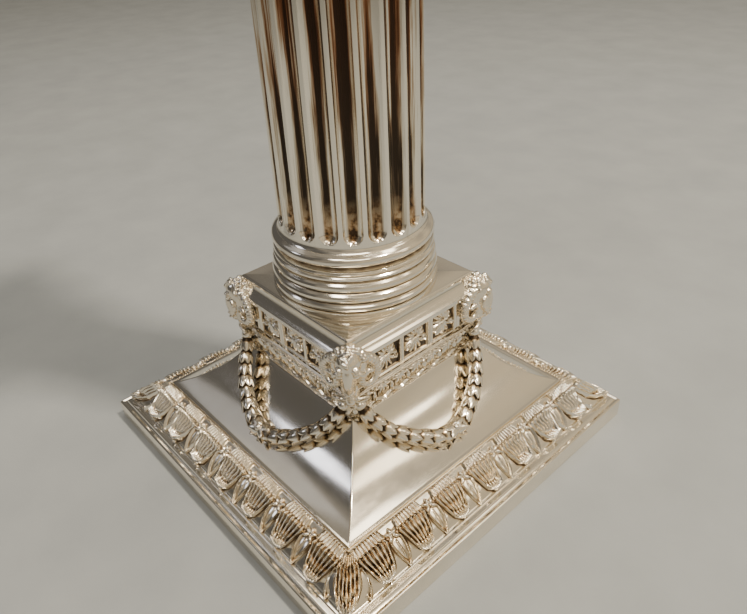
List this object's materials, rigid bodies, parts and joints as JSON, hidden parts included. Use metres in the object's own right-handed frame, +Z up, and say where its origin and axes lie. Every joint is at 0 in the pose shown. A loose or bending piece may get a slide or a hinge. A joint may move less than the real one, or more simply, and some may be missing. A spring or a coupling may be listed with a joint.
{
  "type": "column candlestick",
  "caption": "Silver candlestick: fluted Corinthian column on a square stepped base with leaf border, ram's heads and laurel swags, and a lift-out nozzle.",
  "frame": {"origin": "centre of the square base, on the table", "axes": "+Z up along the column; the sides of the square base are parallel to X and Y"},
  "size_m": [0.127, 0.127, 0.3],
  "materials": {
    "silver_plain": "polished silver, lightly tarnished, warm",
    "silver_ornament": "chased silver, bright on the high points and brown tarnish in the recesses",
    "silver_column": "polished silver with tarnish down the flutes",
    "iron": "dull forged iron",
    "loading": "matt set pitch and plaster",
    "board_wood": "plain sawn softwood",
    "green_baize": "worn woollen baize"
  },
  "bodies": {
    "candlestick": {"abacus": "silver_plain", "acanthus_lower": "silver_ornament", "acanthus_upper": "silver_ornament", "baize": "green_baize", "base_board": "board_wood", "base_loading": "loading", "candle_socket": "silver_plain", "capital_bell": "silver_plain", "capital_loading": "loading", "column_base": "silver_plain", "column_loading": "loading", "column_shaft": "silver_column", "cornice": "silver_plain", "die_moulding": "silver_plain", "fleuron_back": "silver_ornament", "fleuron_front": "silver_ornament", "fleuron_left": "silver_ornament", "fleuron_right": "silver_ornament", "foot_rim": "silver_plain", "frieze_lower": "silver_ornament", "frieze_upper": "silver_ornament", "leaf_border_back": "silver_ornament", "leaf_border_front": "silver_ornament", "leaf_border_left": "silver_ornament", "leaf_border_right": "silver_ornament", "lower_nut": "iron", "lower_washer": "iron", "neck_ring": "silver_plain", "plinth_riser": "silver_plain", "ram_head_back_left": "silver_ornament", "ram_head_back_right": "silver_ornament", "ram_head_front_left": "silver_ornament", "ram_head_front_right": "silver_ornament", "swag_back": "silver_ornament", "swag_front": "silver_ornament", "swag_left": "silver_ornament", "swag_right": "silver_ornament", "tie_rod": "iron", "upper_nut": "iron", "upper_washer": "iron", "volute_back_left": "silver_ornament", "volute_back_right": "silver_ornament", "volute_front_left": "silver_ornament", "volute_front_right": "silver_ornament"},
    "nozzle": {"nozzle_sleeve": "silver_plain", "drip_pan": "silver_plain", "drip_pan_border": "silver_plain", "nozzle_collar": "silver_plain"}
  },
  "joints": [
    {"name": "nozzle_lift", "type": "slide", "parent": "candlestick", "child": "nozzle", "axis": [0, 0, 1], "range_m": [0, 0.022]}
  ]
}
